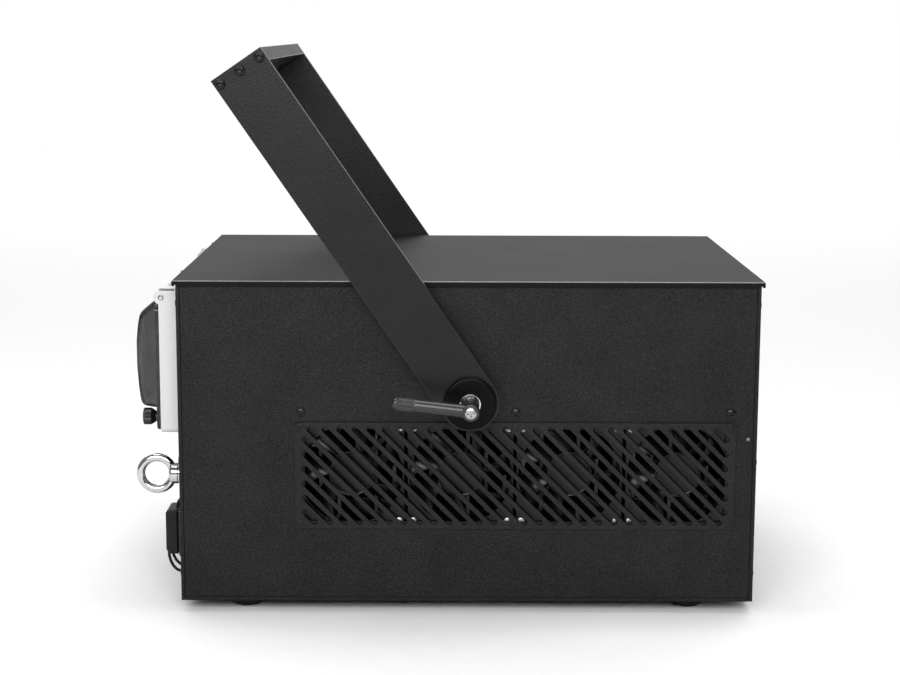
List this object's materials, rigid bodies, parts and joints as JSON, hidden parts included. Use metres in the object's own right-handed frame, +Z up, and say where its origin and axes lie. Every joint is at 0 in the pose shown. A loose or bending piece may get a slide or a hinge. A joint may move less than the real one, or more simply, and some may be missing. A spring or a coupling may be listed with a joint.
{
  "type": "stage laser projector",
  "caption": "Fan-cooled stage laser projector: a flat-sided case in a tilting hanging yoke with clamp levers, a slotted grille and a hinged window over its rear controls.",
  "frame": {"origin": "on the floor under the middle of the whole part's length and width, at the underside of the feet", "axes": "+X is the front, where the light leaves, and runs along the case; +Y is the left side, along the yoke's tilting axis; +Z is up"},
  "size_m": [0.5448, 0.4838, 0.4895],
  "materials": {
    "black_paint": "fine textured matt powder coat",
    "bare_aluminium": "machined, lightly blasted",
    "plated_steel": "zinc plated sheet",
    "polished_steel": "polished",
    "turned_steel": "turned",
    "black_plastic": "fine matt moulded",
    "fan_plastic": "smooth moulded",
    "white_plastic": "satin moulded",
    "smoked_window": "smooth, see-through smoked",
    "clear_glass": "clear, coated",
    "mirror_glass": "coated mirror",
    "black_rubber": "matt moulded",
    "circuit_board": "varnished board"
  },
  "bodies": {
    "case": {"beam_combiner": "bare_aluminium", "bottom_plate": "black_paint", "control_board": "circuit_board", "control_plate": "black_paint", "cover_frame": "white_plastic", "cover_hinge_pin": "polished_steel", "exhaust_grille": "black_paint", "eye_bolt": "polished_steel", "fan_frame_1": "fan_plastic", "fan_frame_2": "fan_plastic", "fan_frame_3": "fan_plastic", "fan_frame_4": "fan_plastic", "front_frame": "plated_steel", "front_panel": "black_paint", "heat_sink": "bare_aluminium", "intake_grille": "black_paint", "laser_module_blue": "bare_aluminium", "laser_module_green": "bare_aluminium", "laser_module_red": "bare_aluminium", "optical_bench": "bare_aluminium", "output_window": "clear_glass", "pivot_boss_left": "turned_steel", "pivot_boss_right": "turned_steel", "power_socket": "black_plastic", "power_supply": "plated_steel", "rear_frame": "plated_steel", "rear_panel": "black_paint", "rubber_foot_1": "black_rubber", "rubber_foot_2": "black_rubber", "rubber_foot_3": "black_rubber", "rubber_foot_4": "black_rubber", "scanner_block": "bare_aluminium", "side_panel_left": "black_paint", "side_panel_right": "black_paint", "signal_socket": "black_plastic", "top_lid": "black_paint", "window_bezel": "black_paint"},
    "yoke": {"yoke_arm_left": "black_paint", "yoke_arm_right": "black_paint", "yoke_crossbar": "black_paint", "clamp_disc_left": "black_plastic", "clamp_disc_right": "black_plastic"},
    "lever_left": {"clamp_lever_left": "black_plastic", "lever_screw_left": "polished_steel"},
    "lever_right": {"clamp_lever_right": "black_plastic", "lever_screw_right": "polished_steel"},
    "window": {"cover_window": "smoked_window"},
    "thumb_screw_left": {"cover_thumb_screw_left": "black_plastic"},
    "thumb_screw_right": {"cover_thumb_screw_right": "black_plastic"},
    "cap_power": {"power_cap": "black_rubber"},
    "cap_signal": {"signal_cap": "black_rubber"},
    "key_switch": {"key": "polished_steel"},
    "knob": {"menu_knob": "black_plastic"},
    "rocker": {"power_rocker": "black_plastic"},
    "mirror_x": {"scan_mirror_x": "mirror_glass"},
    "mirror_y": {"scan_mirror_y": "mirror_glass"},
    "rotor_1": {"fan_rotor_1": "fan_plastic"},
    "rotor_2": {"fan_rotor_2": "fan_plastic"},
    "rotor_3": {"fan_rotor_3": "fan_plastic"},
    "rotor_4": {"fan_rotor_4": "fan_plastic"}
  },
  "joints": [
    {"name": "yoke_tilt", "type": "hinge", "parent": "case", "child": "yoke", "pos_m": [0.0207, 0, 0.191], "axis": [0, 1, 0], "range_deg": [-75, 144]},
    {"name": "lever_left_turn", "type": "hinge", "parent": "case", "child": "lever_left", "pos_m": [0.0207, 0.2, 0.191], "axis": [0, 1, 0], "range_deg": [-90, 90]},
    {"name": "lever_right_turn", "type": "hinge", "parent": "case", "child": "lever_right", "pos_m": [0.0207, -0.2, 0.191], "axis": [0, 1, 0], "range_deg": [-90, 90]},
    {"name": "window_hinge", "type": "hinge", "parent": "case", "child": "window", "pos_m": [-0.2474, 0, 0.274], "axis": [0, 1, 0], "range_deg": [0, 110]},
    {"name": "thumb_left_turn", "type": "hinge", "parent": "window", "child": "thumb_screw_left", "pos_m": [-0.2501, 0.128, 0.1647], "axis": [1, 0, 0], "continuous": true},
    {"name": "thumb_right_turn", "type": "hinge", "parent": "window", "child": "thumb_screw_right", "pos_m": [-0.2501, -0.128, 0.1647], "axis": [1, 0, 0], "continuous": true},
    {"name": "cap_power_hinge", "type": "hinge", "parent": "case", "child": "cap_power", "pos_m": [-0.2335, -0.14, 0.02745], "axis": [0, -1, 0], "range_deg": [0, 95]},
    {"name": "cap_signal_hinge", "type": "hinge", "parent": "case", "child": "cap_signal", "pos_m": [-0.2335, 0.14, 0.02745], "axis": [0, -1, 0], "range_deg": [0, 95]},
    {"name": "key_turn", "type": "hinge", "parent": "case", "child": "key_switch", "pos_m": [-0.2312, -0.05625, 0.2185], "axis": [1, 0, 0], "range_deg": [0, 90]},
    {"name": "knob_turn", "type": "hinge", "parent": "case", "child": "knob", "pos_m": [-0.2312, -0.018, 0.2185], "axis": [1, 0, 0], "continuous": true},
    {"name": "rocker_tilt", "type": "hinge", "parent": "case", "child": "rocker", "pos_m": [-0.2362, -0.0945, 0.2185], "axis": [0, 1, 0], "range_deg": [-8, 8]},
    {"name": "mirror_x_turn", "type": "hinge", "parent": "case", "child": "mirror_x", "pos_m": [0.2241, 0, 0.2098], "axis": [1, 0, 0], "range_deg": [-20, 20]},
    {"name": "mirror_y_turn", "type": "hinge", "parent": "case", "child": "mirror_y", "pos_m": [0.2241, 0, 0.2238], "axis": [0, 1, 0], "range_deg": [-20, 20]},
    {"name": "rotor_1_spin", "type": "hinge", "parent": "case", "child": "rotor_1", "pos_m": [-0.08165, -0.1475, 0.1227], "axis": [0, 1, 0], "continuous": true},
    {"name": "rotor_2_spin", "type": "hinge", "parent": "case", "child": "rotor_2", "pos_m": [0.01285, -0.1475, 0.1227], "axis": [0, 1, 0], "continuous": true},
    {"name": "rotor_3_spin", "type": "hinge", "parent": "case", "child": "rotor_3", "pos_m": [0.10735, -0.1475, 0.1227], "axis": [0, 1, 0], "continuous": true},
    {"name": "rotor_4_spin", "type": "hinge", "parent": "case", "child": "rotor_4", "pos_m": [0.20185, -0.1475, 0.1227], "axis": [0, 1, 0], "continuous": true}
  ]
}
